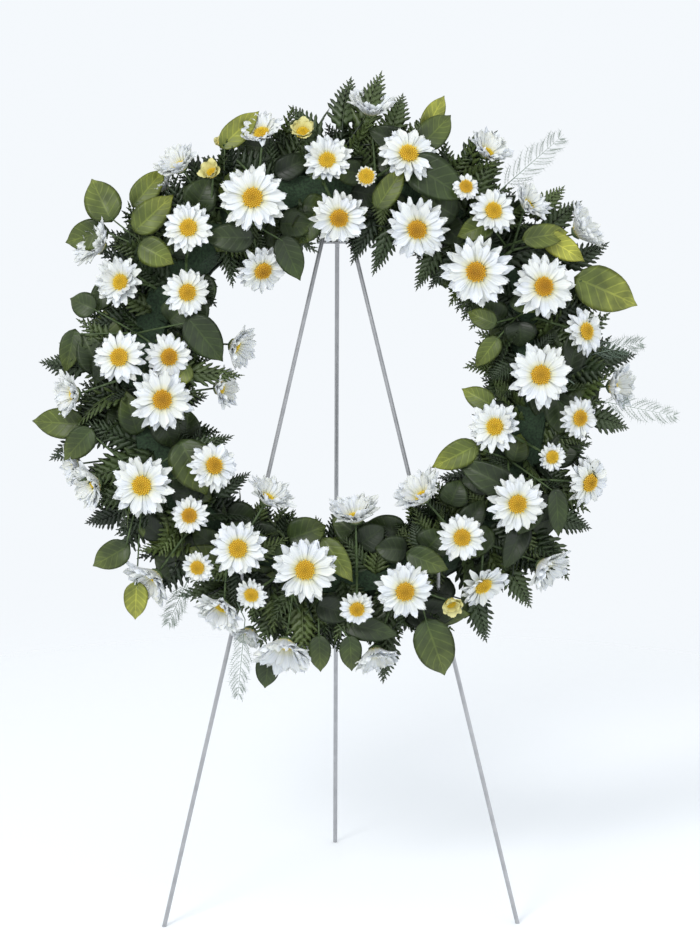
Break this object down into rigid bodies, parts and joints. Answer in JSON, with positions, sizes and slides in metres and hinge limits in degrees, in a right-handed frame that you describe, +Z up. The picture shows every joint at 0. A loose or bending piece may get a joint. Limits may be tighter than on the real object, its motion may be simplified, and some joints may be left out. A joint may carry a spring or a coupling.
{
  "type": "funeral wreath on a wire easel",
  "caption": "Round wreath of white daisies, lemon leaf and fern on a foam ring, hung on a folding three-legged wire easel.",
  "frame": {"origin": "on the floor, under the middle of the whole object's box", "axes": "+Z up, +X to the viewer's right, the flowers face -Y, the rear leg stands towards +Y"},
  "size_m": [0.7414, 0.3308, 0.9672],
  "materials": {
    "steel_wire": "dull galvanised wire",
    "tray_plastic": "moulded dark green plastic",
    "floral_foam": "soaked open-cell floral foam, dark green",
    "petals": "fresh white daisy heads with yellow discs on green stems",
    "lemon_leaf": "leathery green leaf, satin",
    "leatherleaf": "dark green fern, satin",
    "plumosus": "fine grey-green needles, matt"
  },
  "bodies": {
    "front_frame": {"front_leg_left": "steel_wire", "front_leg_right": "steel_wire", "cross_brace": "steel_wire", "hinge_pin": "steel_wire", "top_hook": "steel_wire", "lower_hook_left": "steel_wire", "lower_hook_right": "steel_wire", "ring_tray": "tray_plastic", "foam_ring": "floral_foam", "daisy_spray_01": "petals", "daisy_spray_02": "petals", "daisy_spray_03": "petals", "daisy_spray_04": "petals", "daisy_spray_05": "petals", "daisy_spray_06": "petals", "daisy_spray_07": "petals", "daisy_spray_08": "petals", "daisy_spray_09": "petals", "daisy_spray_10": "petals", "daisy_spray_11": "petals", "daisy_spray_12": "petals", "daisy_spray_13": "petals", "daisy_spray_14": "petals", "daisy_spray_15": "petals", "daisy_spray_16": "petals", "daisy_spray_17": "petals", "daisy_spray_18": "petals", "daisy_spray_19": "petals", "daisy_spray_20": "petals", "daisy_spray_21": "petals", "daisy_spray_22": "petals", "daisy_spray_23": "petals", "daisy_spray_24": "petals", "daisy_spray_25": "petals", "daisy_spray_26": "petals", "daisy_spray_27": "petals", "daisy_spray_28": "petals", "salal_sprig_01": "lemon_leaf", "salal_sprig_02": "lemon_leaf", "salal_sprig_03": "lemon_leaf", "salal_sprig_04": "lemon_leaf", "salal_sprig_05": "lemon_leaf", "salal_sprig_06": "lemon_leaf", "salal_sprig_07": "lemon_leaf", "salal_sprig_08": "lemon_leaf", "salal_sprig_09": "lemon_leaf", "salal_sprig_10": "lemon_leaf", "fern_frond_01": "leatherleaf", "fern_frond_02": "leatherleaf", "fern_frond_03": "leatherleaf", "fern_frond_04": "leatherleaf", "fern_frond_05": "leatherleaf", "fern_frond_06": "leatherleaf", "fern_frond_07": "leatherleaf", "fern_frond_08": "leatherleaf", "fern_frond_09": "leatherleaf", "plumosus_sprig_01": "plumosus", "plumosus_sprig_02": "plumosus", "plumosus_sprig_03": "plumosus"},
    "rear_leg": {"rear_leg": "steel_wire"}
  },
  "joints": [
    {"name": "rear_leg_fold", "type": "hinge", "parent": "front_frame", "child": "rear_leg", "pos_m": [-0.02013, 0.03139, 0.76978], "axis": [1, 0, 0], "range_deg": [-19, 0]}
  ]
}
